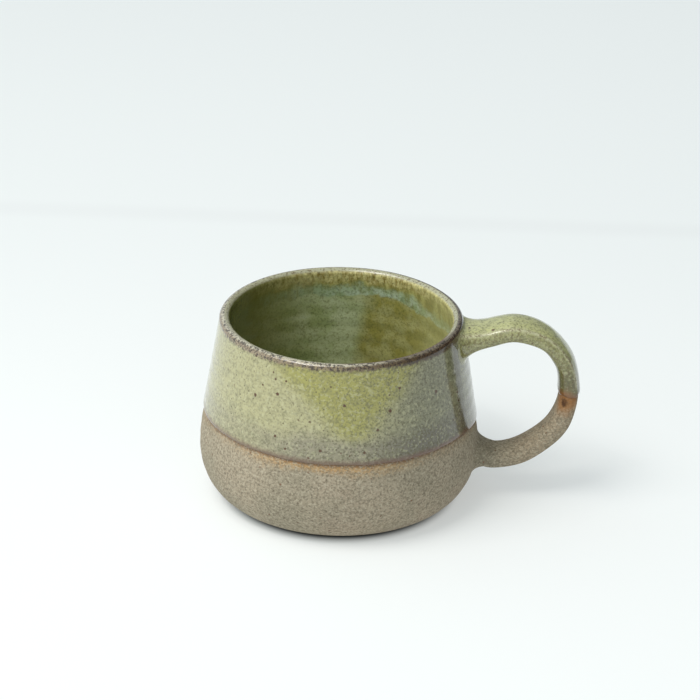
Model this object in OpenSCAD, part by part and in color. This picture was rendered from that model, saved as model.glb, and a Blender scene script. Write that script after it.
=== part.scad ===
// Hand-thrown stoneware mug: a low, round-bellied cup with a pulled strap handle,
// dipped in glaze to just above the belly. Origin at the centre of the foot's
// resting plane, +Z up, handle on +X. All sizes in millimetres.

/* [Cup] */
// Height from the table to the top of the glazed lip
cup_h = 65.9; // [60:0.1:75]
// Outer radius at the glazed lip
rim_r = 41.5; // [40:0.5:43]
// Radius of the bare clay at its widest
belly_r = 48; // [47:0.1:48.2]
// Height of the widest place above the table
belly_h = 18.1; // [16:0.1:24]
// Lean of the wall above the belly, in degrees from upright
wall_lean = 9.4; // [9.2:0.1:11]

/* [Wall] */
// Full thickness of the lip, with the glaze on both faces
lip_t = 3.6; // [3:0.1:5]
// How much less the inner face leans than the outer face, in degrees
wall_taper = 1.8; // [1:0.1:2.5]
// Height of the clay floor inside
floor_h = 6; // [5:0.5:9]
// Width of the curve between the floor and the wall inside
cove_w = 17; // [12:1:20]
// Height of the same curve
cove_h = 20; // [14:1:24]

/* [Foot] */
// Outer radius of the ring that rests on the table
foot_r = 34; // [30:0.1:35]
// Width of that ring
foot_w = 6; // [4:0.5:9]
// Depth of the turned hollow under the floor
foot_recess = 1.5; // [1:0.1:2.5]
// Height of the ring, under the belly's lower edge
foot_rise = 0.8; // [0.5:0.1:2]
// Radius of that edge, which stands out past the ring
edge_r = 35.7; // [35.2:0.1:38]

/* [Glaze] */
// Thickness of the glaze
glaze_t = 0.4; // [0.3:0.1:0.7]
// Height of the glaze's lower edge on the cup
glaze_line = 31.5; // [31:0.5:40]
// Height of the glaze's lower edge on the handle
handle_glaze_line = 40.5; // [34:0.5:44]

/* [Handle] */
// Width of the strap at its upper root
strap_w_top = 15.6; // [12:0.1:18]
// Width at the thumb, a third of the way round
strap_w_thumb = 14; // [11:0.5:16]
// Width where it turns under the fingers
strap_w_turn = 11.8; // [10:0.1:14]
// Width of the strap at its lower root
strap_w_foot = 12.9; // [10:0.1:15]
// Thickness of the strap at its upper root
strap_t_top = 6.8; // [5:0.1:8]
// Thickness at the thumb
strap_t_thumb = 5.3; // [5:0.1:8]
// Thickness where it turns under the fingers
strap_t_turn = 7.7; // [6:0.1:8.5]
// Thickness at its lower root
strap_t_foot = 6.9; // [6:0.1:8.5]
// Squareness of its section: 2 is an ellipse, more is boxier
strap_square = 2.6; // [2:0.1:3.5]

/* [Joints] */
// Length of handle that each smoothed coil of clay covers
coil_len = 8; // [6:0.5:10]
// How far the upper coil spreads sideways on the wall
upper_spread = 6; // [3:0.5:8]
// How far it climbs towards the lip
upper_rise = 1.2; // [1:0.1:2]
// How far it drops under the strap
upper_drop = 2; // [1.5:0.5:5]
// How far the lower coil spreads on the wall, all round
lower_spread = 4; // [2:0.5:5]

/* [Hidden] */
$fn = 96;

clay_colour = "#a89c86";
joint_colour = "#958670";
glaze_colour = "#a9ac7d";
liner_colour = "#8f9660";
handle_glaze_colour = "#b0b285";

// The lip is two concentric half rounds, of clay and of glaze
lip_centre = [rim_r - lip_t / 2, cup_h - lip_t / 2];
clay_lip_r = lip_t / 2 - glaze_t;
glaze_lip_r = lip_t / 2;
lip_step = 12;

// Outer wall: straight from the lip, then a short parabola into the belly
lean_slope = tan(wall_lean);
lip_out = lip_centre + clay_lip_r * [cos(wall_lean), sin(wall_lean)];
shoulder = 2 * (lip_out[0] + lean_slope * (lip_out[1] - belly_h) - belly_r) / lean_slope;
shoulder_h = belly_h + shoulder;
belly_steps = 15;
shoulder_steps = 4;

// Inner wall: straight from the lip, then an elliptical cove down to the floor
inner_lean = wall_lean - wall_taper;
lip_in = lip_centre - clay_lip_r * [cos(inner_lean), sin(inner_lean)];
cove_start = atan(cove_h * tan(inner_lean) / cove_w);
cove_top = floor_h + cove_h + cove_h * sin(cove_start);
cove_x = lip_in[0] + tan(inner_lean) * (lip_in[1] - cove_top) - cove_w * cos(cove_start);
cove_steps = 16;

// Radius of the bare clay wall at a height
function wall_r(z) =
    z < foot_rise ? edge_r
    : z < belly_h ? edge_r + (belly_r - edge_r) * sqrt(1 - pow((belly_h - z) / (belly_h - foot_rise), 2))
    : z < shoulder_h ? belly_r - lean_slope / (2 * shoulder) * pow(z - belly_h, 2)
    : lip_out[0] + lean_slope * (lip_out[1] - z);

function arc(centre, r, from, to, step) =
    let (count = max(1, round(abs(to - from) / step)))
    [for (i = [0:count]) centre + r * [cos(from + (to - from) * i / count), sin(from + (to - from) * i / count)]];

// Outside of the clay, from the belly's lower edge up to the lip
outside = concat(
    [for (i = [0:belly_steps])
        let (a = 90 * i / belly_steps)
        [edge_r + (belly_r - edge_r) * sin(a), belly_h - (belly_h - foot_rise) * cos(a)]],
    [for (i = [1:shoulder_steps])
        let (z = belly_h + shoulder * i / shoulder_steps)
        [wall_r(z), z]],
    arc(lip_centre, clay_lip_r, wall_lean, 90, lip_step)
);

// Inside of the cup at a distance off the clay, from the lip down to the centre of the floor
function inside(lip_r, off) = concat(
    arc(lip_centre, lip_r, 90, 180 + inner_lean, lip_step),
    [for (i = [0:cove_steps])
        let (
            a = cove_start - (cove_start + 90) * i / cove_steps,
            across = [cove_h * cos(a), cove_w * sin(a)]
        )
        [cove_x + cove_w * cos(a), floor_h + cove_h + cove_h * sin(a)] - off * across / norm(across)],
    [[0, floor_h + off]]
);

// Outside of the glaze above a height on the straight part of the wall, from low to high
function glazed_side(z) = concat(
    [[wall_r(z) + glaze_t / cos(wall_lean), z]],
    arc(lip_centre, glaze_lip_r, wall_lean, 90, lip_step)
);

// Centre line of the strap, as [distance from the axis, height], from inside the upper
// wall to inside the lower wall. The rest of it follows a smooth curve through these.
strap_path = [
    [32.2, 56.1], [40.3, 58], [48.3, 59.9], [59.1, 62.5], [69.2, 59.6], [75.6, 52.7], [78, 44.8],
    [77.8, 35.2], [73.8, 25.8], [63.8, 17.4], [53.6, 14.6], [45.6, 16.8], [37.6, 19.2]
];
path_last = len(strap_path) - 3;

function path_at(u) =
    let (
        i = min(floor(u), path_last - 1),
        f = u - i,
        p = [for (k = [0:3]) strap_path[i + k]]
    )
    0.5 * (2 * p[1] + (p[2] - p[0]) * f + (2 * p[0] - 5 * p[1] + 4 * p[2] - p[3]) * f * f
        + (3 * p[1] - p[0] - 3 * p[2] + p[3]) * f * f * f);
function path_along(u) =
    let (d = path_at(min(u + 0.01, path_last)) - path_at(max(u - 0.01, 0)))
    d / norm(d);

strap_sides = 24;
root_rings = 8;
strap_rings = 26;
thumb_u = path_last / 3;
turn_u = path_last * 2 / 3;
strap_w = [[0, strap_w_top], [thumb_u, strap_w_thumb], [turn_u, strap_w_turn], [path_last, strap_w_foot]];
strap_t = [[0, strap_t_top], [thumb_u, strap_t_thumb], [turn_u, strap_t_turn], [path_last, strap_t_foot]];

// Where the centre line leaves the wall and where it comes back, found by halving
function wall_gap(u) = let (p = path_at(u)) p[0] - wall_r(p[1]);
function crossing(inner, outer, tries = 24) =
    let (mid = (inner + outer) / 2)
    tries == 0 ? mid
    : wall_gap(mid) < 0 ? crossing(mid, outer, tries - 1)
    : crossing(inner, mid, tries - 1);
upper_u = crossing(0, 2);
lower_u = crossing(path_last, path_last - 2);
function reach(u, dir, tries = 0) =
    tries == 200 || norm(path_at(u) - path_at(dir > 0 ? upper_u : lower_u)) >= coil_len ? u
    : reach(u + 0.01 * dir, dir, tries + 1);
upper_end_u = reach(upper_u, 1);
lower_end_u = reach(lower_u, -1);

upper_us = [for (i = [0:root_rings]) upper_end_u * i / root_rings];
lower_us = [for (i = [0:root_rings]) lower_end_u + (path_last - lower_end_u) * i / root_rings];
middle_us = [for (i = [1:strap_rings - 1]) upper_end_u + (lower_end_u - upper_end_u) * i / strap_rings];
strap_us = concat(upper_us, middle_us, lower_us);

// Where the strap comes down to the edge of its glaze
function glaze_end(low, high, tries = 24) =
    let (mid = (low + high) / 2)
    tries == 0 ? mid
    : path_at(mid)[1] > handle_glaze_line ? glaze_end(mid, high, tries - 1)
    : glaze_end(low, mid, tries - 1);
glaze_end_u = glaze_end(path_last / 2, path_last * 0.85);
glazed_us = concat(upper_us, [for (u = middle_us) if (u < glaze_end_u - 0.05) u], [glaze_end_u]);

function sharpen(v) = sign(v) * pow(abs(v), 2 / strap_square);
function point_on(u, out, side) =
    let (p = path_at(u), d = path_along(u))
    [p[0] - d[1] * out, side, p[1] + d[0] * out];

// Point of the strap's surface; off is the distance of a skin off it
function strap_point(u, a, off = 0) = point_on(
    u,
    (lookup(u, strap_t) / 2 + off) * sharpen(cos(a)),
    (lookup(u, strap_w) / 2 + off) * sharpen(sin(a))
);

// How much a coil stands off the strap: a rounded fillet that ends flat on the wall
function swell(u, a) =
    let (
        p = strap_point(u, a),
        gap = norm([p[0], p[1]]) - wall_r(p[2]),
        n = 1 - gap / coil_len
    )
    n <= 0 ? 0 : n < 1 ? 1 - sqrt(1 - n * n) : min(n, 1.3);
function coiled_point(u, a, off = 0) =
    let (
        upper = u < path_last / 2,
        s = swell(u, a),
        up = upper ? upper_rise : lower_spread,
        down = upper ? upper_drop : lower_spread,
        sideways = upper ? upper_spread : lower_spread
    )
    point_on(
        u,
        (lookup(u, strap_t) / 2 + off) * sharpen(cos(a)) + (cos(a) > 0 ? up : down) * s * cos(a),
        (lookup(u, strap_w) / 2 + off) * sharpen(sin(a)) + sideways * s * sin(a)
    );

angles = [for (i = [0:strap_sides - 1]) 360 * i / strap_sides];
function ring_quads(from, to, flip) = [
    for (i = [0:strap_sides - 1])
        let (
            j = (i + 1) % strap_sides,
            quad = [from + i, from + j, to + j, to + i]
        )
        each (flip ? [[quad[0], quad[2], quad[1]], [quad[0], quad[3], quad[2]]]
            : [[quad[0], quad[1], quad[2]], [quad[0], quad[2], quad[3]]])
];

// A closed bar through rings of points
module bar(rings) {
    last = (len(rings) - 1) * strap_sides;
    polyhedron(
        points = [for (r = rings) each r],
        faces = concat(
            [[for (i = [0:strap_sides - 1]) strap_sides - 1 - i]],
            [for (k = [0:len(rings) - 2]) each ring_quads(k * strap_sides, (k + 1) * strap_sides, false)],
            [[for (i = [0:strap_sides - 1]) last + i]]
        )
    );
}

// A closed sleeve between rings of inner points and rings of outer points. Its last
// ring is a knife edge if feathered, and then the outer rings are one fewer.
module sleeve(inner, outer, feathered) {
    base = len(inner) * strap_sides;
    inner_last = base - strap_sides;
    outer_last = base + (len(outer) - 1) * strap_sides;
    polyhedron(
        points = concat([for (r = inner) each r], [for (r = outer) each r]),
        faces = concat(
            ring_quads(0, base, true),
            [for (k = [0:len(inner) - 2]) each ring_quads(k * strap_sides, (k + 1) * strap_sides, true)],
            [for (k = [0:len(outer) - 2])
                each ring_quads(base + k * strap_sides, base + (k + 1) * strap_sides, false)],
            ring_quads(outer_last, inner_last, false)
        )
    );
}

// Everything inside the clay wall, cup included, from the foot up past the lip
module inside_the_clay() {
    rotate_extrude()
        polygon(concat(outside, [[0, lip_centre[1] + clay_lip_r], [0, 0]]));
}

// The same, out to the glaze
module inside_the_glaze() {
    rotate_extrude()
        polygon(concat([[0, glaze_line], [wall_r(glaze_line), glaze_line]], glazed_side(glaze_line), [[0, cup_h]]));
}

// Strap and upper coil together, as the glaze on the wall meets them
module upper_root() {
    bar([for (u = upper_us) [for (a = angles) coiled_point(u, a)]]);
}

// Thrown body: floor, turned foot, wall and lip
module vessel() {
    color(clay_colour)
        rotate_extrude()
            polygon(concat(
                [[0, foot_recess], [foot_r - foot_w - 2, foot_recess]],
                [[foot_r - foot_w, 0], [foot_r, 0], [foot_r, foot_rise]],
                outside,
                inside(clay_lip_r, 0)
            ));
}

// Pulled strap, cut to the wall's curve at both ends
module handle() {
    color(clay_colour)
        difference() {
            bar([for (u = strap_us) [for (a = angles) strap_point(u, a)]]);
            inside_the_clay();
        }
}

// Coil of clay smoothed round the strap's upper end
module upper_joint() {
    color(joint_colour)
        difference() {
            sleeve(
                [for (u = upper_us) [for (a = angles) strap_point(u, a)]],
                [for (i = [0:root_rings - 1]) [for (a = angles) coiled_point(upper_us[i], a)]],
                true
            );
            inside_the_clay();
        }
}

// Coil of clay smoothed round the strap's lower end
module lower_joint() {
    us = [for (i = [0:root_rings]) lower_us[root_rings - i]];
    color(joint_colour)
        difference() {
            sleeve(
                [for (u = us) [for (a = angles) strap_point(u, -a)]],
                [for (i = [0:root_rings - 1]) [for (a = angles) coiled_point(us[i], -a)]],
                true
            );
            inside_the_clay();
        }
}

// Glaze over the outside, from the middle of the lip down to its rolled edge
module outer_glaze() {
    edge = [wall_r(glaze_line), glaze_line];
    color(glaze_colour)
        difference() {
            rotate_extrude()
                polygon(concat(
                    [edge],
                    [edge + glaze_t * [0.75, 0.1]],
                    glazed_side(glaze_line + glaze_t),
                    arc(lip_centre, clay_lip_r, 90, wall_lean, lip_step)
                ));
            upper_root();
        }
}

// Glaze lining the cup, from the middle of the lip down over the floor
module liner_glaze() {
    clay = inside(clay_lip_r, 0);
    color(liner_colour)
        rotate_extrude()
            polygon(concat(
                inside(glaze_lip_r, glaze_t),
                [for (i = [0:len(clay) - 1]) clay[len(clay) - 1 - i]]
            ));
}

// Glaze over the upper half of the handle and its upper joint
module handle_glaze() {
    color(handle_glaze_colour)
        difference() {
            sleeve(
                [for (u = glazed_us) [for (a = angles) coiled_point(u, a)]],
                [for (u = glazed_us) [for (a = angles) coiled_point(u, a, glaze_t)]],
                false
            );
            inside_the_glaze();
        }
}

vessel();
handle();
upper_joint();
lower_joint();
outer_glaze();
liner_glaze();
handle_glaze();
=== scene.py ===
"""A hand-thrown stoneware mug, dipped in green glaze to just above its belly.

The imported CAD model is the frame. Each clay piece and each coat of glaze is built again
here as a fine closed mesh, with the slight wander of hand work, and stands for its node.
Lengths are in metres. Angles round the cup are measured from the handle, on +X.
"""

import math

import bpy
import numpy as np
from mathutils import Matrix, Vector


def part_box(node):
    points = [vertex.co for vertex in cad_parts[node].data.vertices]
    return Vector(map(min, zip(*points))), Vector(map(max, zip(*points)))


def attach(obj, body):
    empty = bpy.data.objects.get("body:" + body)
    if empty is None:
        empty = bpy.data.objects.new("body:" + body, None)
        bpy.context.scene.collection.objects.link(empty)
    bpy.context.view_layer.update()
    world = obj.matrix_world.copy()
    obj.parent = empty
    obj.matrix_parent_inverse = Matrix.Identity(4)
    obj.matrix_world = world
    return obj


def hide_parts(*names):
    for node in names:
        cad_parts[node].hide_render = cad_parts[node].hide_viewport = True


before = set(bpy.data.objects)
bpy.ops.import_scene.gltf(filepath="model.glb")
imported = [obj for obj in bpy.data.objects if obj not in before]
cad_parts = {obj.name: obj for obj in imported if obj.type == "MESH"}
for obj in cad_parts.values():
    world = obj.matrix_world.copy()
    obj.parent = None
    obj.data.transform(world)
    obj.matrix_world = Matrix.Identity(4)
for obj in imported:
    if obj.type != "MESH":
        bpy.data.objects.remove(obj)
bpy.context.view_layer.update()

MM = 0.001


# ---------------------------------------------------------------- sizes from the frame


def rings_of(node):
    """The radius and the height of every vertex of a CAD node."""
    co = np.array([v.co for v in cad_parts[node].data.vertices])
    return np.hypot(co[:, 0], co[:, 1]), co[:, 2]


clay_r, clay_z = rings_of("vessel")
coat_r, coat_z = rings_of("outer_glaze")

FOOT_R = clay_r[clay_z < 0.01 * MM].max()
FOOT_INNER_R = clay_r[clay_z < 0.01 * MM].min()
BELLY_R = clay_r.max()
BELLY_H = clay_z[clay_r.argmax()]
CLAY_TOP = clay_z.max()
LIP_R = clay_r[clay_z > CLAY_TOP - 0.01 * MM].mean()
COAT = coat_z.max() - CLAY_TOP
EDGE_H = coat_z.min()
RECESS_H = clay_z[clay_r < FOOT_INNER_R - 1 * MM].min()
RISE_H = clay_z[clay_r > FOOT_R + 0.1 * MM].min()
LOWER_R = clay_r[np.abs(clay_z - RISE_H) < 0.01 * MM].max()
FLOOR_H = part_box("liner_glaze")[0].z
HANDLE_EDGE_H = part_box("handle_glaze")[0].z

# The lip's clay is a half round of this radius, and the walls lean off it
LIP_ROUND = 1.4 * MM
OUTER_LEAN = math.radians(9.4)
INNER_LEAN = math.radians(7.6)
LIP_H = CLAY_TOP - LIP_ROUND
# Inside, the wall turns into the floor along part of an ellipse of these half axes
COVE_W = 17 * MM
COVE_H = 20 * MM

# The strap's centre line: [distance from the axis, height], through the loop
STRAP_PATH = MM * np.array([
    [32.2, 56.1], [40.3, 58], [48.3, 59.9], [59.1, 62.5], [69.2, 59.6], [75.6, 52.7], [78, 44.8],
    [77.8, 35.2], [73.8, 25.8], [63.8, 17.4], [53.6, 14.6], [45.6, 16.8], [37.6, 19.2],
])
# Its width and thickness at even steps along that line
STRAP_WIDTH = MM * np.array([15.6, 14.8, 14, 12.9, 11.8, 12.3, 12.9])
STRAP_THICK = MM * np.array([6.8, 6, 5.4, 6.5, 7.6, 7.3, 6.9])
# Its section is a rounded box: an ellipse whose power is this in place of 2
STRAP_SQUARE = 2.6
# How far each coil runs up the strap, and how far it spreads over the wall each way
COIL_LEN = 8 * MM
UPPER_SPREAD = {"up": 1.2 * MM, "down": 1.8 * MM, "side": 6.5 * MM}
LOWER_SPREAD = {"up": 4 * MM, "down": 4 * MM, "side": 4 * MM}

# An iron spot burst on the strap's near side, just below the glaze's edge
RUST_SPOT = (76.6 * MM, -6.5 * MM, HANDLE_EDGE_H - 2 * MM)
# Painted shade on the strap's near side where it leaves the lower joint
CREASE_SHADE_SPOT = (51 * MM, -7 * MM, 15 * MM)

CAMERA_AZIMUTH = math.radians(2)
FRONT = CAMERA_AZIMUTH - math.pi / 2  # the angle round the cup that faces the camera


# ---------------------------------------------------------------- hand-made wander


def smooth(value, low, high):
    """0 below low, 1 above high, and an even S between them."""
    t = np.clip((value - low) / (high - low), 0, 1)
    return t * t * (3 - 2 * t)


def wander(angle, seed, first, last, fall=1.0):
    """A repeatable wavy line round the cup, about -1 to 1, of waves first to last."""
    rng = np.random.default_rng(seed)
    total = np.zeros_like(np.asarray(angle, float))
    size = 0.0
    for k in range(first, last + 1):
        weight = rng.uniform(0.5, 1) / (k - first + 1) ** fall
        total = total + weight * np.cos(k * angle + rng.uniform(0, 2 * math.pi))
        size += weight * weight / 2
    return total / (2 * math.sqrt(size))


def off_round(angle, height):
    """How far the wall stands off a true round: slow bends and faint throwing rings."""
    bend = 0.14 * MM * wander(angle, 11, 2, 5) * smooth(height, 0, 40 * MM)
    turns = height / (4.6 * MM) + angle / (2 * math.pi)
    rings = 0.035 * MM * np.sin(2 * math.pi * turns + 0.8 * wander(angle, 12, 1, 4))
    return bend + rings * smooth(height, 3 * MM, 10 * MM) * smooth(-height, -60 * MM, -52 * MM)


def lip_lift(angle):
    """How far the lip rises and falls round the cup. It dips a little at the front."""
    return 0.16 * MM * wander(angle, 13, 2, 6) - 0.25 * MM - 0.22 * MM * np.cos(angle - FRONT)


def edge_height(angle):
    """Height of the glaze's lower edge round the cup. It hangs lower by the handle."""
    from_handle = (angle + math.pi) % (2 * math.pi) - math.pi
    tilt = 0.5 * MM * np.cos(angle - math.radians(-150))
    sag = -1.7 * MM * np.exp(-((from_handle / math.radians(17)) ** 2))
    waves = 0.28 * MM * wander(angle, 14, 4, 13, 0.4)
    ripples = 0.1 * MM * wander(angle, 15, 20, 44, 0.3)
    return EDGE_H + tilt + sag + waves + ripples


# ---------------------------------------------------------------- outlines of the cup

SLOPE = math.tan(OUTER_LEAN)
LIP_OUT = np.array([LIP_R + LIP_ROUND * math.cos(OUTER_LEAN), LIP_H + LIP_ROUND * math.sin(OUTER_LEAN)])
SHOULDER = 2 * (LIP_OUT[0] + SLOPE * (LIP_OUT[1] - BELLY_H) - BELLY_R) / SLOPE
WALL_TOP = LIP_OUT[1] - 0.4 * MM  # the height of the wall's last row, just under the lip


def wall_radius(height):
    """Radius of the bare clay wall: an elliptical belly, a short parabola, a straight cone."""
    height = np.asarray(height, float)
    under = (BELLY_H - np.clip(height, RISE_H, BELLY_H)) / (BELLY_H - RISE_H)
    low = LOWER_R + (BELLY_R - LOWER_R) * np.sqrt(1 - under**2)
    middle = BELLY_R - SLOPE / (2 * SHOULDER) * (height - BELLY_H) ** 2
    high = LIP_OUT[0] + SLOPE * (LIP_OUT[1] - height)
    return np.where(height < BELLY_H, low, np.where(height < BELLY_H + SHOULDER, middle, high))


def wall_lean(height):
    """Angle of the wall's outward normal above the horizontal."""
    step = 0.05 * MM
    low = np.maximum(height - step, RISE_H)
    return np.arctan2(-(wall_radius(height + step) - wall_radius(low)), height + step - low)


def wall_point(angle, height, off=0.0):
    """A point of the outer wall, off outside the clay, with the hand-made wander."""
    lean = wall_lean(height)
    out = off + off_round(angle, height)
    radius = wall_radius(height) + out * np.cos(lean)
    return np.stack([radius * np.cos(angle), radius * np.sin(angle), height + out * np.sin(lean)], -1)


def turned(radius, height, angle):
    """Points of an outline carried round the cup, as rows of the outline by angles."""
    radius, height = np.broadcast_arrays(radius, height)
    return np.stack([radius * np.cos(angle), radius * np.sin(angle), height], -1)


def lip_rows(start, stop, off, angle, rows):
    """Rows of the rounded lip, from one angle of its section to another."""
    a = np.linspace(start, stop, rows)[:, None]
    bend = off_round(angle, LIP_H)
    radius = LIP_R + (LIP_ROUND + off) * np.cos(a) + bend
    height = LIP_H + (LIP_ROUND + off) * np.sin(a) + lip_lift(angle)
    return turned(radius, height, angle)


def lifted(points, angle):
    """Outer wall rows pulled up with the lip, more so the higher they are."""
    points = points.copy()
    points[..., 2] += lip_lift(angle) * smooth(points[..., 2], 45 * MM, LIP_H)
    return points


COVE_START = math.atan(COVE_H * math.tan(INNER_LEAN) / COVE_W)
LIP_IN = np.array([LIP_R - LIP_ROUND * math.cos(INNER_LEAN), LIP_H - LIP_ROUND * math.sin(INNER_LEAN)])
COVE_TOP = FLOOR_H + COVE_H * (1 + math.sin(COVE_START))
COVE_X = LIP_IN[0] + math.tan(INNER_LEAN) * (LIP_IN[1] - COVE_TOP) - COVE_W * math.cos(COVE_START)


def inner_outline(off, wall_rows, cove_rows, floor_rows):
    """Radius and height down the inside of the cup, off clear of the clay, short of the axis."""
    a = np.linspace(COVE_START, -math.pi / 2, cove_rows)
    normal = np.stack([COVE_H * np.cos(a), COVE_W * np.sin(a)], -1)
    normal /= np.linalg.norm(normal, axis=1)[:, None]
    cove = np.stack([COVE_X + COVE_W * np.cos(a), FLOOR_H + COVE_H + COVE_H * np.sin(a)], -1)
    cove = cove - off * normal
    top = LIP_IN - off * np.array([math.cos(INNER_LEAN), math.sin(INNER_LEAN)])
    t = np.linspace(0, 1, wall_rows, endpoint=False)[1:, None]
    wall = top + (cove[0] - top) * t
    share = np.linspace(1, 0, floor_rows, endpoint=False)[1:, None]
    floor = share * [cove[-1][0], 0] + [0, cove[-1][1]]
    return np.concatenate([wall, cove, floor])


def inner_rows(off, angle, wall_rows, cove_rows, floor_rows):
    """Rows of the cup's inside, with finger ridges left from throwing."""
    outline = inner_outline(off, wall_rows, cove_rows, floor_rows)
    radius, height = outline[:, :1], outline[:, 1:]
    inward = smooth(height, FLOOR_H + 1 * MM, FLOOR_H + 14 * MM)
    turns = height / (6.5 * MM) - angle / (2 * math.pi)
    ridge = 0.09 * MM * np.sin(2 * math.pi * turns + wander(angle, 16, 1, 3))
    ridge = ridge * smooth(-height, -58 * MM, -46 * MM) * inward
    spiral = 0.12 * MM * np.sin(2 * math.pi * (radius / (5.5 * MM) + angle / (2 * math.pi)))
    spiral = spiral * (1 - inward) * smooth(radius, 3 * MM, 9 * MM)
    bend = off_round(angle, LIP_H) * smooth(height, 20 * MM, LIP_H)
    rows = turned(radius + ridge + bend, height + spiral + 0 * angle, angle)
    return lifted(rows, angle)


# ---------------------------------------------------------------- meshes

# The meshes carry marks that the materials read. edge_mm is the height above the glaze's
# lower edge, and lip_mm the depth below the lip. strap is 0 on the cup, 1 on the handle
# and up to 2 on its two sides, where shade is painted, and ridge is 1 on the ridges along it, where a
# highlight is painted.
FAR = 30.0  # the mark given where no edge or lip is near


def skin(name, rows, marks, wrap=False):
    """A closed mesh through rows of points. Rows close on themselves; with wrap the last
    row joins the first, and otherwise a point closes each end. marks are named numbers
    for each point, which the materials read."""
    rows = np.asarray(rows)
    count, across = rows.shape[:2]
    points = rows.reshape(-1, 3)
    index = np.arange(count * across).reshape(count, across)
    below, above = (index, np.roll(index, -1, 0)) if wrap else (index[:-1], index[1:])
    quads = np.stack([below, np.roll(below, -1, 1), np.roll(above, -1, 1), above], -1).reshape(-1, 4)
    faces = [quads.ravel()]
    sizes = [np.full(len(quads), 4)]
    ends = []
    if not wrap:
        ends = [rows[0].mean(0), rows[-1].mean(0)]
        first, last = len(points), len(points) + 1
        points = np.concatenate([points, ends])
        start = np.stack([np.full(across, first), np.roll(index[0], -1), index[0]], -1)
        stop = np.stack([np.full(across, last), index[-1], np.roll(index[-1], -1)], -1)
        faces += [start.ravel(), stop.ravel()]
        sizes += [np.full(2 * across, 3)]
    corners = np.concatenate(faces)
    sizes = np.concatenate(sizes)
    mesh = bpy.data.meshes.new(name)
    mesh.vertices.add(len(points))
    mesh.vertices.foreach_set("co", points.astype(np.float32).ravel())
    mesh.loops.add(len(corners))
    mesh.loops.foreach_set("vertex_index", corners.astype(np.int32))
    mesh.polygons.add(len(sizes))
    mesh.polygons.foreach_set("loop_start", (np.cumsum(sizes) - sizes).astype(np.int32))
    mesh.update(calc_edges=True)
    mesh.validate()
    mesh.shade_smooth()
    for mark, values in marks.items():
        values = np.broadcast_to(values, (count, across))
        if ends:
            values = np.concatenate([values.ravel(), [values[0].mean(), values[-1].mean()]])
        layer = mesh.attributes.new(mark, "FLOAT", "POINT")
        layer.data.foreach_set("value", values.astype(np.float32).ravel())
    piece = bpy.data.objects.new(name, mesh)
    bpy.context.scene.collection.objects.link(piece)
    return piece


def stands_for(piece, node, material):
    """Puts a finished piece in place of its CAD node."""
    piece.data.materials.append(material)
    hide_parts(node)
    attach(piece, "root")


def angles_round(count):
    """One row of angles, evenly round the cup."""
    return np.linspace(0, 2 * math.pi, count, endpoint=False)[None, :]


def build_vessel():
    """The thrown body: foot, belly, wall, lip and inside, one closed surface."""
    angle = angles_round(360)
    inset = (FOOT_INNER_R - 2 * MM) * np.linspace(0.04, 1, 14)[:, None]
    grooves = 0.06 * MM * np.sin(2 * math.pi * inset / (3.1 * MM) + angle)
    hollow = turned(inset + 0 * angle, RECESS_H + grooves, angle)
    ring = np.array([
        [FOOT_INNER_R - 1.2 * MM, 1.15 * MM],
        [FOOT_INNER_R - 0.4 * MM, 0.45 * MM],
        [FOOT_INNER_R, 0.12 * MM],
        [FOOT_INNER_R + 0.5 * MM, 0],
        [FOOT_R - 0.3 * MM, 0],
        [FOOT_R, 0.2 * MM],
        [FOOT_R, RISE_H - 0.15 * MM],
        [FOOT_R + 0.2 * MM, RISE_H],
        [LOWER_R - 0.5 * MM, RISE_H + 0.02 * MM],
    ])
    foot = turned(ring[:, :1] + 0 * angle, ring[:, 1:], angle)
    rise = np.linspace(0, math.pi / 2, 60)[:, None]
    belly = wall_point(angle, BELLY_H - (BELLY_H - RISE_H) * np.cos(rise) + 0 * angle)
    height = np.linspace(BELLY_H + 0.5 * MM, WALL_TOP, 90)[:, None]
    side = wall_point(angle, height + 0 * angle)
    lip = lip_rows(OUTER_LEAN, math.pi + INNER_LEAN, 0, angle, 16)
    inside = inner_rows(0, angle, 50, 40, 14)
    rows = np.concatenate([hollow, foot, belly, lifted(side, angle), lip, inside])
    return skin("thrown_body", rows, {"edge_mm": (rows[..., 2] - edge_height(angle)) / MM})


def build_outer_glaze():
    """The outside coat, from its rolled lower edge to the middle of the lip."""
    angle = angles_round(480)
    edge = edge_height(angle)
    t = np.concatenate([np.linspace(0, 0.06, 12, endpoint=False), np.linspace(0.06, 1, 84)])[:, None]
    height = edge + (WALL_TOP - edge) * t
    above = height - edge
    roll = np.sqrt(np.clip(1 - (1 - np.clip(above / (0.7 * MM), 0, 1)) ** 2, 0, 1))
    bead = 0.16 * MM * np.exp(-(((above - 1.1 * MM) / (1.1 * MM)) ** 2))
    pools = 0.05 * MM * np.sin(above / (7 * MM) + 2 * wander(angle, 17, 2, 7))
    thick = (COAT + bead + pools * smooth(above, 1 * MM, 5 * MM)) * roll
    wall = lifted(wall_point(angle, height, thick), angle)
    lip = lip_rows(OUTER_LEAN, math.pi / 2, COAT, angle, 14)
    under_lip = lip_rows(math.pi / 2, OUTER_LEAN, 0, angle, 8)
    back = lifted(wall_point(angle, height[::-4], 0 * height[::-4]), angle)
    rows = np.concatenate([wall, lip, under_lip, back])
    drop = (lip[..., 2].max(0)[None] - rows[..., 2]) / MM
    none = 0 * drop
    marks = {"edge_mm": (rows[..., 2] - edge) / MM, "lip_mm": drop, "strap": none, "ridge": none}
    return skin("outside_glaze", rows, marks, wrap=True)


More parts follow.
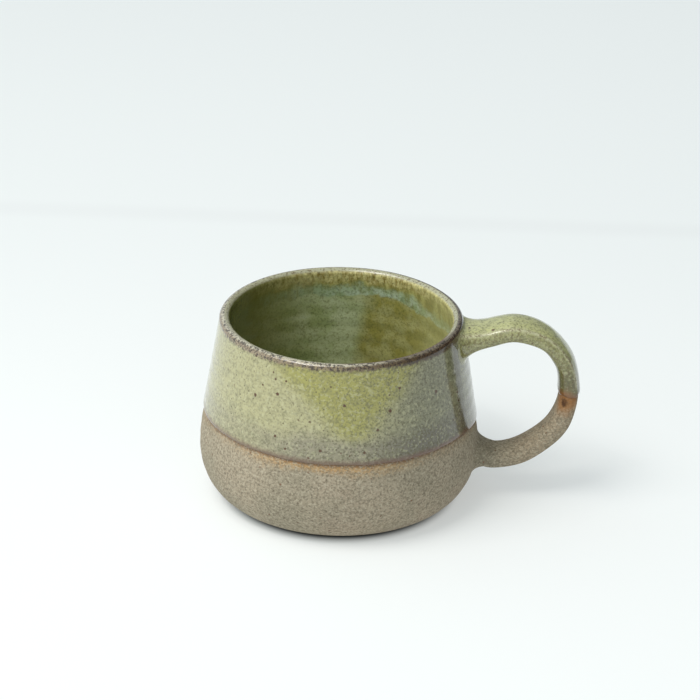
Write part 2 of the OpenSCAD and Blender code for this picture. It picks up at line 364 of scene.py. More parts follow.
def build_liner_glaze():
    """The lining, from the middle of the lip down over the floor, where it pools."""
    angle = angles_round(480)
    lip = lip_rows(math.pi / 2, math.pi + INNER_LEAN, COAT, angle, 14)
    inside = inner_rows(COAT, angle, 90, 50, 16)
    pooled = smooth(-inside[..., 2], -(FLOOR_H + 6 * MM), -(FLOOR_H + COAT))
    inside[..., 2] += 0.35 * MM * pooled
    clay = inner_rows(0, angle, 30, 24, 8)
    under_lip = lip_rows(math.pi + INNER_LEAN, math.pi / 2, 0, angle, 6)
    rows = np.concatenate([lip, inside, clay[::-1], under_lip])
    drop = (lip[..., 2].max(0)[None] - rows[..., 2]) / MM
    return skin("lining_glaze", rows, {"lip_mm": drop, "edge_mm": FAR + 0 * drop}, wrap=True)


# ---------------------------------------------------------------- the handle


PATH_END = len(STRAP_PATH) - 3  # the curve runs from the second point to the last but one


def path_at(u):
    """Points of the strap's centre line and its direction there, at steps u of the path."""
    u = np.asarray(u, float)
    i = np.clip(np.floor(u).astype(int), 0, PATH_END - 1)
    f = (u - i)[..., None]
    p = [STRAP_PATH[i + k] for k in range(4)]
    bend = 2 * p[0] - 5 * p[1] + 4 * p[2] - p[3]
    twist = 3 * p[1] - p[0] - 3 * p[2] + p[3]
    point = 0.5 * (2 * p[1] + (p[2] - p[0]) * f + bend * f**2 + twist * f**3)
    along = 0.5 * ((p[2] - p[0]) + 2 * bend * f + 3 * twist * f**2)
    return point, along / np.linalg.norm(along, axis=-1)[..., None]


def sharpen(value):
    """Draws a sine or cosine out towards the corners of the strap's rounded box."""
    return np.sign(value) * np.abs(value) ** (2 / STRAP_SQUARE)


def ridge_near(a):
    """1 on the ridge that pulling leaves along each outer edge of the strap, 0 away from it."""
    return np.exp(-(((np.abs((a + math.pi) % (2 * math.pi) - math.pi) - 0.9) / 0.15) ** 2))


def strap_point(u, a, off=0.0):
    """A point of the strap's skin: u along it, a round its section, off outside the clay."""
    u, a = np.broadcast_arrays(u, a)
    point, along = path_at(u)
    steps = np.linspace(0, PATH_END, len(STRAP_WIDTH))
    pull = 0.16 * MM * np.sin(1.7 * u + 0.9) * np.cos(2 * a + 0.5) + 0.07 * MM * np.sin(5.1 * u + 2 * a)
    pull = pull + 0.34 * MM * ridge_near(a)
    wide = np.interp(u, steps, STRAP_WIDTH) / 2 + off + pull
    thick = np.interp(u, steps, STRAP_THICK) / 2 + off + 0.5 * pull
    out = thick * sharpen(np.cos(a))
    side = wide * sharpen(np.sin(a))
    distance = point[..., 0] - along[..., 1] * out
    height = point[..., 1] + along[..., 0] * out
    return np.stack([distance, side, height], -1)


def wall_gap(points, off):
    """How far points stand off the outer wall, off outside its clay."""
    angle = np.arctan2(points[..., 1], points[..., 0])
    surface = wall_point(angle, points[..., 2], off)
    return np.hypot(points[..., 0], points[..., 1]) - np.hypot(surface[..., 0], surface[..., 1])


def meets_wall(a, off, upper):
    """The step of the path at which each line of the strap's skin meets the wall."""
    inside = np.full(a.shape, 0.0 if upper else float(PATH_END))
    outside = np.full(a.shape, 2.5 if upper else PATH_END - 2.5)
    for _ in range(40):
        middle = (inside + outside) / 2
        buried = wall_gap(strap_point(middle, a, off), off) < 0
        inside = np.where(buried, middle, inside)
        outside = np.where(buried, outside, middle)
    return (inside + outside) / 2


def coil_rows(a, off, spread, upper, rows, tuck=0.0):
    """Rows of a smoothed coil's outer face, from the strap's skin round onto the wall.
    Returns them with the step of the path at which each line leaves the strap."""
    inward = 1 if upper else -1
    foot_u = meets_wall(a, off, upper)
    corner = strap_point(foot_u, a, off)
    pace = np.linalg.norm(strap_point(foot_u + 0.05 * inward, a, off) - corner, axis=-1) / 0.05
    start_u = foot_u + inward * COIL_LEN / pace
    start = strap_point(start_u, a, off)
    across = corner - strap_point(foot_u, a, off - 1 * MM)
    across /= np.linalg.norm(across, axis=-1)[..., None]
    rise = np.cos(a) * (1 if upper else -1)
    up_or_down = np.where(rise > 0, spread["up"], spread["down"])
    reach = up_or_down * np.cos(a) ** 2 + spread["side"] * np.sin(a) ** 2
    guess = corner + across * reach[..., None]
    angle = np.arctan2(guess[..., 1], guess[..., 0])
    end = wall_point(angle, guess[..., 2], off)
    radial = np.stack([np.cos(angle), np.sin(angle), 0 * angle], -1)
    bulge = np.linalg.norm(end - corner, axis=-1) ** 2 / (2 * LIP_R)
    control = corner + radial * bulge[..., None]
    end = end - radial * tuck
    t = np.concatenate([[0, 0.004], np.linspace(0, 1, rows)[1:-1], [0.996, 1]])[:, None, None]
    return (1 - t) ** 2 * start + 2 * t * (1 - t) * control + t**2 * end, start_u, foot_u


SIDES = np.linspace(0, 2 * math.pi, 96, endpoint=False)


def build_handle():
    """The pulled strap, from wall to wall, a little thinner where the coils cover it."""
    first = meets_wall(SIDES, 0, True)
    last = meets_wall(SIDES, 0, False)
    u = first + (last - first) * np.linspace(0, 1, 240)[:, None]
    rows = strap_point(u, SIDES)
    thinner = strap_point(u, SIDES, -0.06 * MM)
    for end in (rows[0], rows[-1]):
        away = np.linalg.norm(rows - end.mean(0), axis=-1)
        covered = 1 - smooth(away, COIL_LEN * 0.6, COIL_LEN)
        rows = rows + (thinner - rows) * covered[..., None]
    above = (rows[..., 2] - handle_edge(SIDES)) / MM
    return skin("pulled_handle", rows, {"edge_mm": np.where(u > PATH_END / 2, above / 2, FAR)})


def handle_edge(a):
    """Height of the glaze's lower edge round the strap."""
    return HANDLE_EDGE_H + 0.5 * MM * wander(a, 21, 1, 3) + 0.25 * MM * wander(a, 22, 4, 9, 0.5)


def edge_step(a):
    """The step of the path at which the strap comes down to the glaze's edge."""
    high = np.full(a.shape, PATH_END * 0.5)
    low = np.full(a.shape, PATH_END * 0.85)
    for _ in range(40):
        middle = (high + low) / 2
        above = strap_point(middle, a)[..., 2] > handle_edge(a)
        high = np.where(above, middle, high)
        low = np.where(above, low, middle)
    return (high + low) / 2


def build_joint(name, spread, upper):
    """A coil of clay smoothed round one end of the strap, closed against strap and wall."""
    face, start_u, foot_u = coil_rows(SIDES, 0, spread, upper, 30, 0.02 * MM)
    corner = strap_point(foot_u, SIDES)
    t = np.linspace(0, 1, 6)[1:-1, None, None]
    along_wall = face[-1] + (corner - face[-1]) * t - 0.05 * MM * np.sign(corner) * [1, 0, 0]
    back_u = foot_u + (start_u - foot_u) * np.linspace(0, 1, 8)[:-1, None]
    up_strap = strap_point(back_u, SIDES, -0.03 * MM)
    rows = np.concatenate([face, along_wall, up_strap])
    if not upper:
        rows = rows[::-1]
    edge = edge_height(np.arctan2(rows[..., 1], rows[..., 0]))
    above = FAR + 0 * edge if upper else (rows[..., 2] - edge) / MM
    return skin(name, rows, {"edge_mm": above}, wrap=True)


def build_handle_glaze():
    """The coat over the handle's upper half and its upper joint, with a rolled edge."""
    face, start_u, _ = coil_rows(SIDES, COAT, UPPER_SPREAD, True, 40, 0.03 * MM)
    end_u = edge_step(SIDES)
    t = np.linspace(0, 1, 130)[1:, None] ** 0.9
    u = start_u + (end_u - start_u) * t
    left = np.linalg.norm(strap_point(u, SIDES) - strap_point(end_u, SIDES), axis=-1)
    roll = np.sqrt(np.clip(1 - (1 - np.clip(left / (0.8 * MM), 0, 1)) ** 2, 0, 1))
    bead = 0.12 * MM * np.exp(-(((left - 1.2 * MM) / (1.1 * MM)) ** 2))
    strap = strap_point(u, SIDES, (COAT + bead) * roll)
    inner_u = start_u + (end_u - start_u) * np.linspace(1, 0, 40)[1:, None]
    inner = strap_point(inner_u, SIDES, -0.02 * MM)
    inner_face = coil_rows(SIDES, 0, UPPER_SPREAD, True, 16)[0]
    rows = np.concatenate([face[::-1], strap, inner, inner_face[1:]])
    edge = np.concatenate([
        np.full(face.shape[:2], FAR),
        left / MM,
        np.full(inner.shape[:2], 5.0),
        np.full(inner_face[1:].shape[:2], FAR),
    ])
    # The strap's two sides, which the glaze material paints in shade
    shaded_flank = smooth(np.abs(np.sin(SIDES)), 0.78, 0.97)
    ridge = ridge_near(SIDES) * smooth(edge, 2, 5)
    marks = {"edge_mm": edge, "lip_mm": FAR + 0 * edge, "strap": 1 + shaded_flank + 0 * edge, "ridge": ridge}
    return skin("handle_glaze_coat", rows, marks, wrap=True)


# ---------------------------------------------------------------- materials


def srgb(r, g, b):
    """A colour as a screen shows it, from 0 to 255, as the linear numbers that shaders use."""
    share = np.array([r, g, b]) / 255
    return (*np.where(share <= 0.04045, share / 12.92, ((share + 0.055) / 1.055) ** 2.4), 1.0)


class Shader:
    """One material and short calls that add nodes to it. Values are numbers or sockets."""

    def __init__(self, name):
        self.material = bpy.data.materials.new(name)
        self.material.use_nodes = True
        self.nodes = self.material.node_tree.nodes
        self.links = self.material.node_tree.links
        self.nodes.clear()
        self.place = self.add("ShaderNodeTexCoord").outputs["Object"]

    def add(self, kind, inputs=None, **settings):
        node = self.nodes.new(kind)
        for key, value in settings.items():
            setattr(node, key, value)
        for key, value in (inputs or {}).items():
            self.put(node.inputs[key], value)
        return node

    def put(self, socket, value):
        if isinstance(value, bpy.types.NodeSocket):
            self.links.new(value, socket)
        else:
            socket.default_value = value

    def math(self, operation, a, b=0.0, clamp=False):
        return self.add("ShaderNodeMath", {0: a, 1: b}, operation=operation, use_clamp=clamp).outputs[0]

    def plus(self, a, b):
        return self.math("ADD", a, b)

    def minus(self, a, b):
        return self.math("SUBTRACT", a, b)

    def times(self, a, b):
        return self.math("MULTIPLY", a, b)

    def mark(self, name):
        """A number that the mesh carries for each of its points."""
        return self.add("ShaderNodeAttribute", attribute_name=name).outputs["Fac"]

    def stretched(self, x, y, z):
        """The place of each point, scaled along each axis. Noise read there is squeezed."""
        return self.add("ShaderNodeMapping", {"Vector": self.place, "Scale": (x, y, z)}).outputs[0]

    def noise(self, size, detail=2.0, rough=0.5, place=None):
        """Cloudy noise, about 0 to 1, whose lumps are about size across."""
        inputs = {"Vector": place or self.place, "Scale": 1 / size, "Detail": detail, "Roughness": rough}
        return self.add("ShaderNodeTexNoise", inputs).outputs["Fac"]

    def swing(self, amount, size, detail=2.0, rough=0.5):
        """Cloudy noise about zero, amount between its ends."""
        return self.times(self.minus(self.noise(size, detail, rough), 0.5), amount)

    def cells(self, size):
        """Distance to the nearest scattered point in units of size, and a random number for it."""
        node = self.add("ShaderNodeTexVoronoi", {"Vector": self.place, "Scale": 1 / size})
        pick = self.add("ShaderNodeSeparateColor", {"Color": node.outputs["Color"]})
        return node.outputs["Distance"], pick.outputs[0]

    def ease(self, value, low, high, to_low=0.0, to_high=1.0):
        """to_low at low, to_high at high, smooth between them and level beyond."""
        inputs = {"Value": value, "From Min": low, "From Max": high, "To Min": to_low, "To Max": to_high}
        return self.add("ShaderNodeMapRange", inputs, interpolation_type="SMOOTHSTEP").outputs["Result"]

    def mix(self, share, a, b):
        """Colour a at share 0 and colour b at share 1."""
        node = self.add("ShaderNodeMix", {"Factor": share}, data_type="RGBA")
        # A Mix node has sockets for every kind of value, and these are those for colours
        self.put(node.inputs[6], a)
        self.put(node.inputs[7], b)
        return node.outputs[2]

    def bump(self, height, distance, strength, normal=None):
        inputs = {"Height": height, "Distance": distance, "Strength": strength}
        if normal is not None:
            inputs["Normal"] = normal
        return self.add("ShaderNodeBump", inputs).outputs["Normal"]

    def finish(self, **inputs):
        """Ends in a Principled shader with these inputs."""
        named = {key.replace("_", " "): value for key, value in inputs.items()}
        node = self.add("ShaderNodeBsdfPrincipled", named)
        self.add("ShaderNodeOutputMaterial", {"Surface": node.outputs[0]})
        return self.material

    def seen_from(self, centre):
        """How far a point lies towards a centre angle, and how far to the side of it."""
        turn = Matrix.Rotation(-centre, 3, "Z").to_euler()
        point = self.add("ShaderNodeMapping", {"Vector": self.place, "Rotation": turn}).outputs[0]
        split = self.add("ShaderNodeSeparateXYZ", {"Vector": point})
        return split.outputs["X"], split.outputs["Y"]

    def angle_from(self, centre):
        """Angle round the cup from a centre angle, from -pi to pi. It jumps opposite the centre."""
        towards, aside = self.seen_from(centre)
        return self.math("ARCTAN2", aside, towards)

    def side_of(self, centre):
        """How far a point is to one side of a centre angle, 0 on it and about 1 at the lip."""
        return self.math("DIVIDE", self.seen_from(centre)[1], LIP_R)

    def away_from(self, point):
        """Distance from a point, in millimetres."""
        gap = self.add("ShaderNodeVectorMath", {0: self.place, 1: point}, operation="DISTANCE")
        return self.math("DIVIDE", gap.outputs["Value"], MM)

    def height(self):
        return self.add("ShaderNodeSeparateXYZ", {"Vector": self.place}).outputs["Z"]


def clay_material():
    """Bare groggy stoneware: dark and pale grains, and a rust flash under the glaze's edge."""
    s = Shader("bare_stoneware")
    edge = s.mark("edge_mm")
    # Two tones of clay, pinker in places and browner on the handle
    cloud = s.noise(22 * MM, 3)
    base = s.mix(s.ease(cloud, 0.35, 0.65), srgb(147, 138, 117), srgb(163, 150, 128))
    pinkish = s.ease(s.noise(14 * MM, 2), 0.5, 0.7)
    base = s.mix(s.times(pinkish, 0.4), base, srgb(158, 140, 120))
    on_handle = s.ease(s.away_from((0, 0, BELLY_H)), 52, 66, 0, 0.5)
    base = s.mix(on_handle, base, srgb(146, 127, 102))
    # The rust flash, strongest at the front, and the brown line against the glaze
    ragged = s.swing(6.0, 2.6 * MM, 4, 0.65)
    reach = s.ease(s.noise(30 * MM, 1), 0.35, 0.65, -3.4, -5.6)
    flash = s.ease(s.plus(edge, ragged), reach, -0.4)
    off_front = s.math("ABSOLUTE", s.plus(s.angle_from(FRONT), 0.1))
    strength = s.ease(off_front, 0.15, 0.85, 0.75, 0.22)
    base = s.mix(s.times(flash, strength), base, srgb(182, 138, 76))
    line = s.ease(s.plus(edge, s.times(ragged, 0.12)), -1.3, -0.1)
    base = s.mix(s.times(line, 0.75), base, srgb(112, 76, 50))
    # Painted shade by the lower joint
    crease_shade = s.plus(s.away_from(CREASE_SHADE_SPOT), s.times(ragged, 1.5))
    base = s.mix(s.ease(crease_shade, 7.0, 2.0, 0, 0.45), base, srgb(84, 84, 66))
    # Sandy grain, dark and pale
    fine = s.noise(0.85 * MM, 2, 0.65)
    base = s.mix(s.ease(fine, 0.6, 0.36, 0, 0.75), base, srgb(114, 104, 86))
    pale = s.noise(0.8 * MM, 2, 0.6, s.stretched(1, 1, 1.3))
    base = s.mix(s.ease(pale, 0.48, 0.66, 0, 0.45), base, srgb(190, 180, 158))
    # The burst iron spot on the handle
    from_rust = s.plus(s.away_from(RUST_SPOT), s.times(ragged, 0.9))
    base = s.mix(s.ease(from_rust, 7.0, 1.8, 0, 0.72), base, srgb(150, 98, 44))
    base = s.mix(s.ease(from_rust, 2.4, 0.9, 0, 0.9), base, srgb(66, 38, 16))
    # Grit, some rusty and some dark
    rusty, pick = s.cells(3.4 * MM)
    rusty = s.times(s.ease(rusty, 0.13, 0.08), s.ease(pick, 0.6, 0.65))
    base = s.mix(s.times(rusty, 0.7), base, srgb(104, 62, 36))
    grit, pick = s.cells(1.6 * MM)
    dark_grit = s.times(s.ease(grit, 0.3, 0.12), s.ease(pick, 0.6, 0.65))
    base = s.mix(s.times(dark_grit, 0.4), base, srgb(70, 60, 46))
    # The tooth of the bare clay
    sand = s.plus(s.times(fine, 0.6), s.times(s.noise(0.4 * MM, 2), 0.4))
    normal = s.bump(sand, 0.16 * MM, 0.8, s.bump(s.ease(grit, 0.35, 0.1), 0.1 * MM, 0.5))
    rough = s.ease(fine, 0.3, 0.7, 0.95, 0.78)
    return s.finish(Base_Color=base, Roughness=rough, Normal=normal, IOR=1.45)


def glaze_skin(s, base, dark):
    """The skin of the sage glaze: fine mottle, iron specks with their pits, and the gloss.
    dark is how strongly it is speckled, from place to place."""
    # Mottle, dark and pale
    fine = s.noise(0.85 * MM, 2, 0.65)
    base = s.mix(s.times(s.ease(fine, 0.56, 0.36), dark), base, srgb(88, 84, 58))
    pale = s.noise(1.1 * MM, 2, 0.6, s.stretched(1, 1, 1.1))
    base = s.mix(s.ease(pale, 0.5, 0.68, 0, 0.4), base, srgb(190, 188, 150))
    blotch = s.noise(2.6 * MM, 3, 0.6)
    base = s.mix(s.times(s.ease(blotch, 0.52, 0.34), 0.3), base, srgb(110, 108, 76))
    # Small specks, and a few larger iron spots of uneven outline
    speck, pick = s.cells(1.5 * MM)
    specks = s.times(s.ease(speck, 0.24, 0.12), s.ease(pick, 0.66, 0.7))
    base = s.mix(s.times(specks, 0.7), base, srgb(70, 60, 36))
    spot, pick = s.cells(3.7 * MM)
    size = s.ease(pick, 0.35, 1.0, 0.06, 0.17)
    uneven = s.swing(0.2, 0.7 * MM)
    spot = s.plus(s.minus(spot, size), uneven)
    spots = s.times(s.ease(spot, 0.035, -0.035), s.ease(pick, 0.35, 0.36))
    base = s.mix(spots, base, srgb(80, 52, 26))
    # A skin that is a little wavy, with a pit at each speck
    skin_bump = s.bump(s.noise(5 * MM, 2), 0.25 * MM, 0.35)
    normal = s.bump(s.noise(1.3 * MM, 2), 0.03 * MM, 0.5, skin_bump)
    normal = s.bump(s.plus(specks, spots), -0.05 * MM, 0.5, normal)
    rough = s.ease(s.noise(9 * MM, 2), 0.35, 0.7, 0.12, 0.2)
    return base, rough, normal


def outer_glaze_material():
    """Sage glaze outside: an olive fold where two dips overlap, brown where it breaks."""
    s = Shader("sage_glaze")
    edge, lip, strap, ridge = s.mark("edge_mm"), s.mark("lip_mm"), s.mark("strap"), s.mark("ridge")
    around, side = s.angle_from(FRONT), s.side_of(FRONT)
    height = s.math("DIVIDE", s.height(), MM)
    # Painted light and shade: pale on the lit left and greyer on the shaded right; duller at the back
    drift = s.swing(2.0, 16 * MM, 3)
    shaded_right = s.ease(s.plus(side, s.times(drift, 0.25)), 0.05, 0.72)
    base = s.mix(shaded_right, srgb(169, 164, 122), srgb(127, 126, 99))
    base = s.mix(s.ease(s.math("ABSOLUTE", around), 1.9, 2.6), base, srgb(152, 150, 112))
    # The olive fold, a wedge near the front that widens upwards
    from_fold = s.math("ABSOLUTE", s.minus(around, 0.10))
    half_width = s.times(s.minus(height, 38.0), 0.0238)
    fold = s.plus(s.minus(half_width, from_fold), s.times(drift, 0.12))
    base = s.mix(s.ease(fold, -0.14, 0.14, 0, 0.9), base, srgb(152, 148, 74))
    # The thin grey zone above the lower edge
    low = s.ease(s.plus(edge, s.times(drift, 5.0)), 12.0, 5.5)
    low = s.times(low, s.ease(side, -0.86, -0.3, 0.4, 0.9))
    # The thin zone's tone, painted darker on the shaded right
    thin = s.mix(shaded_right, srgb(138, 131, 110), srgb(102, 97, 84))
    base = s.mix(low, base, thin)
    # The handle: paler high up and darker lower down, partly its own olive and partly painted light on
    # its lit top; painted shade down its sides
    strap_with_painted_light = s.mix(s.ease(height, 45.0, 59.0), srgb(96, 94, 62), srgb(180, 180, 124))
    shaded_flank = s.math("SUBTRACT", strap, 1.0, clamp=True)
    strap = s.math("MINIMUM", strap, 1.0)
    strap_with_painted_light = s.mix(s.times(shaded_flank, 0.5), strap_with_painted_light, srgb(112, 108, 66))
    base = s.mix(strap, base, strap_with_painted_light)
    # Speckled more to the right and where the glaze is thin
    dark = s.ease(side, -0.6, 0.85, 0.4, 0.8)
    dark = s.plus(dark, s.times(s.minus(low, strap), 0.25))
    base, rough, normal = glaze_skin(s, base, dark)
    # A painted dark reflection of the handle on the wall beside it
    ragged = s.swing(3.0, 1.3 * MM, 3, 0.7)
    off_handle_reflection = s.math("ABSOLUTE", s.minus(around, 1.15))
    painted_handle_reflection = s.ease(s.plus(off_handle_reflection, s.times(ragged, 0.03)), 0.075, 0.02, 0, 0.6)
    painted_handle_reflection = s.times(painted_handle_reflection, s.ease(strap, 1.0, 0.0))
    base = s.mix(painted_handle_reflection, base, srgb(66, 58, 38))
    # The purple-brown roll along the lower edge
    rolled = s.ease(s.plus(edge, s.times(ragged, 0.6)), 2.6, 0.4)
    purple = s.mix(shaded_right, srgb(104, 76, 60), srgb(100, 64, 50))
    base = s.mix(s.times(rolled, 0.8), base, purple)
    # Brown crumbs on the handle's sides, and a painted highlight along its ridges, broken by brown
    # crumbs
    crumbs = s.ease(s.noise(1.0 * MM, 3, 0.8), 0.48, 0.56)
    base = s.mix(s.times(crumbs, s.times(shaded_flank, 0.45)), base, srgb(92, 70, 34))
    base = s.mix(s.times(ridge, 0.7), base, srgb(192, 189, 156))
    base = s.mix(s.times(crumbs, s.times(ridge, 0.8)), base, srgb(98, 78, 44))
    # The upper part of the burst iron spot
    from_rust = s.plus(s.away_from(RUST_SPOT), ragged)
    base = s.mix(s.ease(from_rust, 6.0, 2.4, 0, 0.8), base, srgb(128, 84, 40))
    base = s.mix(s.ease(from_rust, 3.0, 1.2, 0, 0.9), base, srgb(52, 32, 16))
    # The lip, where the glaze breaks brown, with dark crumbs and a pale crest that is partly the glaze's
    # own pale edge and partly a painted highlight, strongest on the lit left
    to_right = s.ease(side, -0.3, 0.65)
    band = s.ease(side, 0.4, 1.0, 2.4, 3.4)
    broken = s.ease(s.minus(s.plus(lip, ragged), band), 0.0, -1.2)
    tone = s.mix(to_right, srgb(128, 104, 90), srgb(74, 52, 36))
    base = s.mix(s.times(broken, s.ease(to_right, 0, 1, 0.7, 0.9)), base, tone)
    crest_and_highlight = s.ease(s.plus(lip, s.times(ragged, 0.4)), 0.6, 0.1)
    base = s.mix(s.times(crest_and_highlight, s.ease(side, 0.2, 0.5, 0.85, 0.2)), base, srgb(196, 190, 168))
    base = s.mix(s.times(crumbs, s.ease(lip, 3.2, 1.4, 0, 0.9)), base, srgb(48, 36, 28))
    return s.finish(
        Base_Color=base, Roughness=rough, Normal=normal, IOR=1.5, Coat_Weight=0.5, Coat_Roughness=0.04
    )


def liner_glaze_material():
    """Green glaze inside: amber under the lip, broken aqua clouds, olive to one side."""
    s = Shader("olive_lining")
    lip = s.mark("lip_mm")
    side = s.side_of(FRONT + math.pi)
    streak = s.noise(3.2 * MM, 3, 0.6, s.stretched(1, 1, 0.2))
    drift = s.swing(2.0, 12 * MM)
    wave = s.swing(6.0, 4.5 * MM, 3, 0.6)
    level = s.plus(lip, s.plus(wave, s.times(drift, 2.0)))
    mottle = s.noise(1.3 * MM, 3, 0.65)
    grain = s.noise(1.4 * MM, 3, 0.7, s.stretched(1, 1, 0.4))
    # Amber under the lip, which breaks into streaks lower down
    amber = s.mix(s.ease(grain, 0.3, 0.66), srgb(136, 118, 60), srgb(214, 204, 140))
    streaks = s.mix(s.ease(streak, 0.36, 0.62), srgb(172, 166, 98), srgb(128, 120, 58))
    base = s.mix(s.ease(level, 3.0, 6.0), amber, streaks)
    # The cup below, green with olive to one side
    green = s.mix(s.ease(s.noise(9 * MM, 3), 0.38, 0.62), srgb(154, 166, 116), srgb(184, 192, 152))
    olive = s.mix(s.ease(s.noise(7 * MM, 3), 0.38, 0.62), srgb(148, 142, 74), srgb(174, 170, 112))
    to_side = s.ease(s.plus(side, s.times(drift, 0.25)), -0.05, -0.3)
    low = s.mix(to_side, green, olive)
    # Between them, pale green and then broken aqua clouds
    lower_edge = s.ease(side, -0.43, -0.78, 10.0, 12.8)
    past = s.minus(level, lower_edge)
    pale_green = s.mix(s.ease(streak, 0.4, 0.6), srgb(150, 168, 128), srgb(134, 142, 92))
    base = s.mix(s.ease(past, -5.5, -2.5), base, pale_green)
    clouds = s.times(s.ease(past, -5.0, -1.5), s.ease(past, 1.0, -0.4))
    patches = s.ease(s.noise(4 * MM, 3, 0.6), 0.4, 0.6)
    patches = s.times(patches, s.ease(side, 0.48, -0.2, 0.05, 0.75))
    base = s.mix(s.times(clouds, patches), base, srgb(188, 202, 176))
    base = s.mix(s.ease(past, -0.6, 0.6), base, low)
    # Mottle, then painted shade on the left of the inside and painted light on the right
    base = s.mix(s.times(s.ease(mottle, 0.5, 0.36), 0.35), base, srgb(78, 80, 40))
    fine = s.noise(0.7 * MM, 3, 0.7)
    base = s.mix(s.times(s.ease(fine, 0.5, 0.36), 0.4), base, srgb(70, 68, 36))
    base = s.mix(s.ease(side, 0.1, 0.9, 0, 0.9), base, srgb(84, 86, 32))
    base = s.mix(s.ease(side, -0.48, -0.95, 0, 0.4), base, srgb(212, 206, 144))
    # The lip's pale edge, red-brown at the near right
    rim = s.ease(s.plus(lip, s.times(wave, 0.12)), 1.1, 0.4)
    base = s.mix(rim, base, srgb(168, 166, 138))
    base = s.mix(s.times(rim, s.ease(fine, 0.5, 0.38)), base, srgb(112, 98, 70))
    near_right = s.ease(s.math("ABSOLUTE", s.minus(s.angle_from(FRONT), 0.55)), 0.75, 0.45)
    red = s.ease(s.plus(lip, s.times(wave, 0.3)), 1.6, 0.8)
    red = s.times(red, near_right)
    base = s.mix(s.times(red, 0.85), base, srgb(86, 52, 34))
    # Shallow ripples
    normal = s.bump(s.noise(6 * MM, 2, 0.5, s.stretched(1, 1, 0.5)), 0.3 * MM, 0.4)
    normal = s.bump(mottle, 0.03 * MM, 0.4, normal)
    rough = s.ease(s.noise(9 * MM, 2), 0.35, 0.7, 0.14, 0.24)
    return s.finish(
        Base_Color=base, Roughness=rough, Normal=normal, IOR=1.5, Coat_Weight=0.3, Coat_Roughness=0.06
    )


# ---------------------------------------------------------------- the mug

clay = clay_material()
sage = outer_glaze_material()
lining = liner_glaze_material()

stands_for(build_vessel(), "vessel", clay)
stands_for(build_handle(), "handle", clay)
stands_for(build_joint("upper_coil", UPPER_SPREAD, True), "upper_joint", clay)
stands_for(build_joint("lower_coil", LOWER_SPREAD, False), "lower_joint", clay)
stands_for(build_outer_glaze(), "outer_glaze", sage)
stands_for(build_liner_glaze(), "liner_glaze", lining)
stands_for(build_handle_glaze(), "handle_glaze", sage)


# ---------------------------------------------------------------- the setting


def floor_material():
    """A pale sheet with a painted glow, as if lit a little from below, which shows from above only and
    is cut out under the foot. It is painted darker with distance, with a faint fold, and has a painted
    contact shadow under the belly."""
    s = Shader("pale_sheet")
    split = s.add("ShaderNodeSeparateXYZ", {"Vector": s.place})
    away = split.outputs["Y"]
    # The sheet's colour is painted darker with distance
    colour = s.mix(s.ease(away, -0.05, 0.26), (0.91, 0.935, 0.928, 1), (0.855, 0.885, 0.88, 1))
    fold = s.times(s.ease(away, 0.236, 0.248), s.ease(away, 0.262, 0.250))
    colour = s.mix(s.times(fold, 0.3), colour, (0.78, 0.80, 0.80, 1))
    from_axis = s.add("ShaderNodeVectorMath", {0: s.place}, operation="LENGTH").outputs["Value"]
    # Painted contact shadow: the glow fades and the colour goes nearly black round the foot
    glow = s.ease(from_axis, LOWER_R + 1 * MM, LOWER_R + 7 * MM, 0, 0.45)
    paper_with_painted_shadow = s.ease(from_axis, LOWER_R + 0.2 * MM, LOWER_R + 4 * MM, 0.02, 0.55)
    inputs = {
        "Base Color": s.mix(paper_with_painted_shadow, (0, 0, 0, 1), colour), "Roughness": 0.7, "Specular IOR Level": 0.2,
        "Emission Color": colour, "Emission Strength": glow,
    }
    shader = s.add("ShaderNodeBsdfPrincipled", inputs)
    clear = s.add("ShaderNodeBsdfTransparent")
    back = s.add("ShaderNodeNewGeometry").outputs["Backfacing"]
    under_foot = s.math("LESS_THAN", from_axis, FOOT_R + 0.2 * MM)
    gone = s.math("MAXIMUM", back, under_foot)
    both = s.add("ShaderNodeMixShader", {0: gone, 1: shader.outputs[0], 2: clear.outputs[0]})
    s.add("ShaderNodeOutputMaterial", {"Surface": both.outputs[0]})
    return s.material


def make_floor():
    """A flat sheet under the mug, wide enough to fill every view."""
    half = 3.0
    mesh = bpy.data.meshes.new("floor")
    corners = [(-half, -half, 0), (half, -half, 0), (half, half, 0), (-half, half, 0)]
    mesh.from_pydata(corners, [], [(0, 1, 2, 3)])
    mesh.materials.append(floor_material())
    floor = bpy.data.objects.new("floor", mesh)
    bpy.context.scene.collection.objects.link(floor)


def make_softbox(name, place, target, width, height, watts, colour):
    """A lamp with a flat lit face that is turned towards the target."""
    light = bpy.data.lights.new(name, "AREA")
    light.shape = "RECTANGLE"
    light.size, light.size_y = width, height
    light.energy, light.color = watts, colour
    lamp = bpy.data.objects.new(name, light)
    lamp.location = place
    lamp.rotation_euler = (Vector(target) - Vector(place)).to_track_quat("-Z", "Y").to_euler()
    bpy.context.scene.collection.objects.link(lamp)


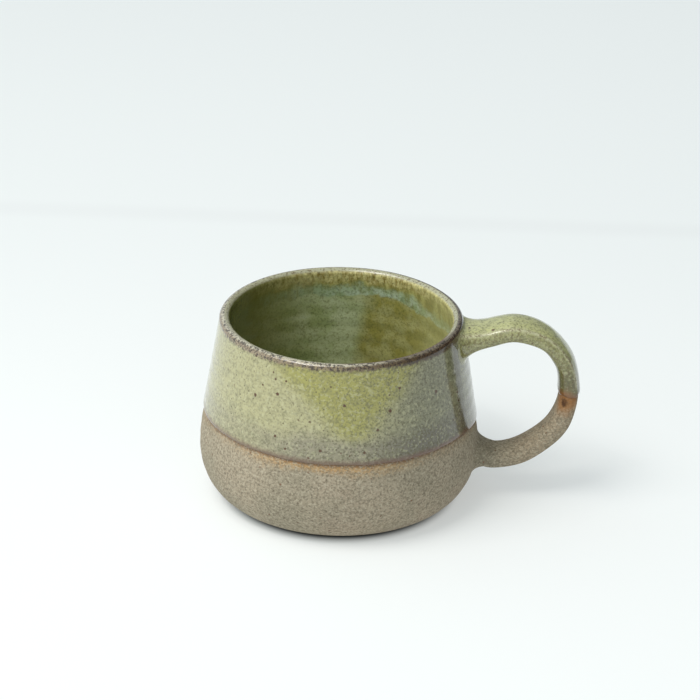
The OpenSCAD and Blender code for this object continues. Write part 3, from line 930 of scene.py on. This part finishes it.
def make_world(level, lean, bright_side, colour):
    """Soft light all round, brighter towards one side and dimmer opposite."""
    world = bpy.data.worlds.new("studio")
    world.use_nodes = True
    nodes, links = world.node_tree.nodes, world.node_tree.links
    facing = nodes.new("ShaderNodeVectorMath")
    facing.operation = "DOT_PRODUCT"
    facing.inputs[1].default_value = [lean * share for share in bright_side]
    links.new(nodes.new("ShaderNodeTexCoord").outputs["Generated"], facing.inputs[0])
    strength = nodes.new("ShaderNodeMath")
    strength.operation = "MULTIPLY_ADD"
    strength.inputs[1].default_value = level
    strength.inputs[2].default_value = level
    links.new(facing.outputs["Value"], strength.inputs[0])
    links.new(strength.outputs[0], nodes["Background"].inputs["Strength"])
    nodes["Background"].inputs["Color"].default_value = colour
    bpy.context.scene.world = world


def make_camera():
    """A long lens, held high and tipped a little to one side."""
    tip, tilt, focal = math.radians(24.727), math.radians(1.229), 133.7
    to_aim = 895.2 * MM
    aside, above = 3.22 * MM, 17.60 * MM
    turn = Matrix.Rotation(CAMERA_AZIMUTH, 4, "Z")
    right = turn @ Vector((1, 0, 0))
    ahead = turn @ Vector((0, math.cos(tip), -math.sin(tip)))
    upward = right.cross(ahead)
    aim = Vector((0, 0, 32.75 * MM))
    data = bpy.data.cameras.new("camera")
    data.lens, data.sensor_width = focal, 36
    data.clip_start, data.clip_end = 0.01, 20
    camera = bpy.data.objects.new("camera", data)
    camera.matrix_world = Matrix.Translation(aim - to_aim * ahead + aside * right + above * upward) @ (
        Matrix((right, upward, -ahead)).transposed().to_4x4() @ Matrix.Rotation(tilt, 4, "Z")
    )
    bpy.context.scene.collection.objects.link(camera)
    bpy.context.scene.camera = camera


make_floor()
make_softbox("window", (-0.47, -0.32, 1.1), (0, 0, 0.03), 0.7, 0.7, 8.4, (1.0, 0.955, 0.9))
make_softbox("strip", (-0.4, -0.44, 1.0), (0, 0, 0.05), 0.45, 0.1, 1.3, (1.0, 0.97, 0.93))
make_world(0.64, 0.95, (-0.9, -0.43, 0), (0.885, 0.99, 1.03, 1))
make_camera()
bpy.context.scene.view_settings.view_transform = "Standard"
